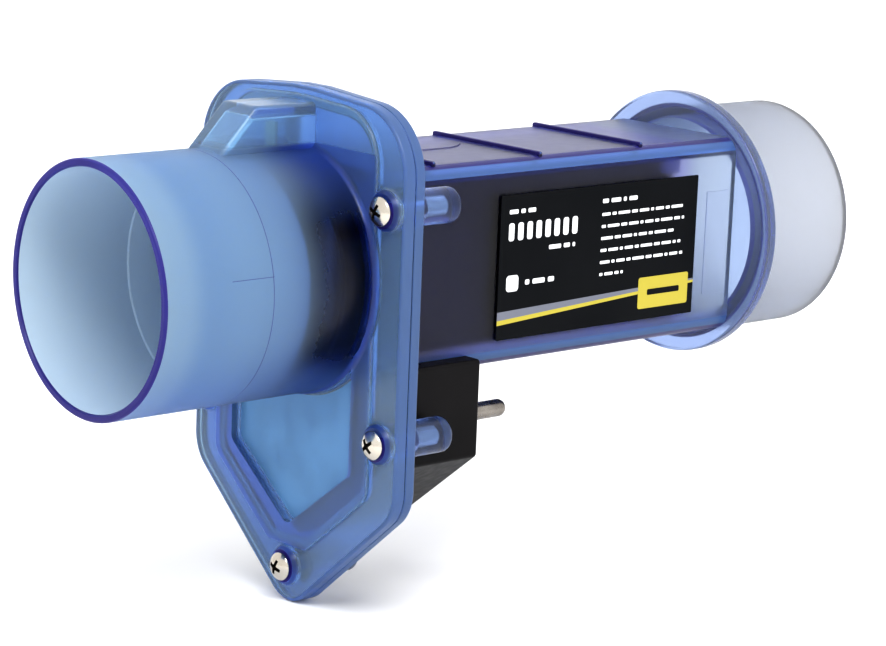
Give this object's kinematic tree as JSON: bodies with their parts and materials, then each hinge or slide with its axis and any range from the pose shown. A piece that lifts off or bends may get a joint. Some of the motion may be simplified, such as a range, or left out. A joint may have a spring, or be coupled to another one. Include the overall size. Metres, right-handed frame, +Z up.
{
  "type": "salt chlorine generator",
  "caption": "In-line pool salt cell: pipe socket at each end, screwed-on inlet cover with gas trap, square chamber with a plug-in pack of electrode plates, black terminal block.",
  "frame": {"origin": "centre of the inlet mouth, on the pipe axis", "axes": "+X along the pipe in the direction of flow, +Z up towards the gas trap, label side facing -Y"},
  "size_m": [0.2432, 0.0834, 0.1366],
  "materials": {
    "housing_plastic": "frosted translucent blue moulding",
    "outlet_plastic": "frosted translucent pale blue moulding",
    "cover_plastic": "frosted translucent blue moulding",
    "black_plastic": "satin black moulding",
    "natural_plastic": "natural translucent moulding",
    "rubber": "matt black",
    "stainless_steel": "bright",
    "terminal_steel": "satin",
    "titanium": "satin grey",
    "coated_titanium": "matt dark oxide coating",
    "label_film": "printed black film, no lettering"
  },
  "bodies": {
    "housing": {"chamber_housing": "housing_plastic", "outlet_socket": "outlet_plastic", "terminal_block": "black_plastic", "label": "label_film"},
    "cover": {"inlet_cover": "cover_plastic", "cover_seal": "rubber"},
    "cassette": {"cassette_head": "black_plastic", "electrode_plate_1": "coated_titanium", "electrode_plate_2": "coated_titanium", "electrode_plate_3": "coated_titanium", "electrode_plate_4": "coated_titanium", "electrode_plate_5": "coated_titanium", "electrode_plate_6": "coated_titanium", "electrode_plate_7": "coated_titanium", "electrode_plate_8": "coated_titanium", "electrode_plate_9": "coated_titanium", "comb_upper_front": "natural_plastic", "comb_upper_rear": "natural_plastic", "comb_lower_front": "natural_plastic", "comb_lower_rear": "natural_plastic", "bus_strap_left": "titanium", "bus_strap_right": "titanium", "sensor_strip": "titanium", "power_pin_left": "terminal_steel", "power_pin_right": "terminal_steel", "sensor_pin": "terminal_steel", "pin_seal_left": "rubber", "pin_seal_middle": "rubber", "pin_seal_right": "rubber"},
    "screw_upper_left": {"cover_screw_upper_left": "stainless_steel"},
    "screw_upper_right": {"cover_screw_upper_right": "stainless_steel"},
    "screw_lower_left": {"cover_screw_lower_left": "stainless_steel"},
    "screw_lower_right": {"cover_screw_lower_right": "stainless_steel"},
    "screw_bottom": {"cover_screw_bottom": "stainless_steel"}
  },
  "joints": [
    {"name": "cover_pull", "type": "slide", "parent": "housing", "child": "cover", "axis": [-1, 0, 0], "range_m": [0, 0.2]},
    {"name": "cassette_pull", "type": "slide", "parent": "housing", "child": "cassette", "axis": [-1, 0, 0], "range_m": [0, 0.12]},
    {"name": "screw_upper_left_out", "type": "slide", "parent": "cover", "child": "screw_upper_left", "axis": [-1, 0, 0], "range_m": [0, 0.02]},
    {"name": "screw_upper_right_out", "type": "slide", "parent": "cover", "child": "screw_upper_right", "axis": [-1, 0, 0], "range_m": [0, 0.02]},
    {"name": "screw_lower_left_out", "type": "slide", "parent": "cover", "child": "screw_lower_left", "axis": [-1, 0, 0], "range_m": [0, 0.02]},
    {"name": "screw_lower_right_out", "type": "slide", "parent": "cover", "child": "screw_lower_right", "axis": [-1, 0, 0], "range_m": [0, 0.02]},
    {"name": "screw_bottom_out", "type": "slide", "parent": "cover", "child": "screw_bottom", "axis": [-1, 0, 0], "range_m": [0, 0.02]}
  ],
  "couplings": [
    {"joint": "cassette_pull", "follows": "cover_pull", "ratio": 0.6}
  ]
}
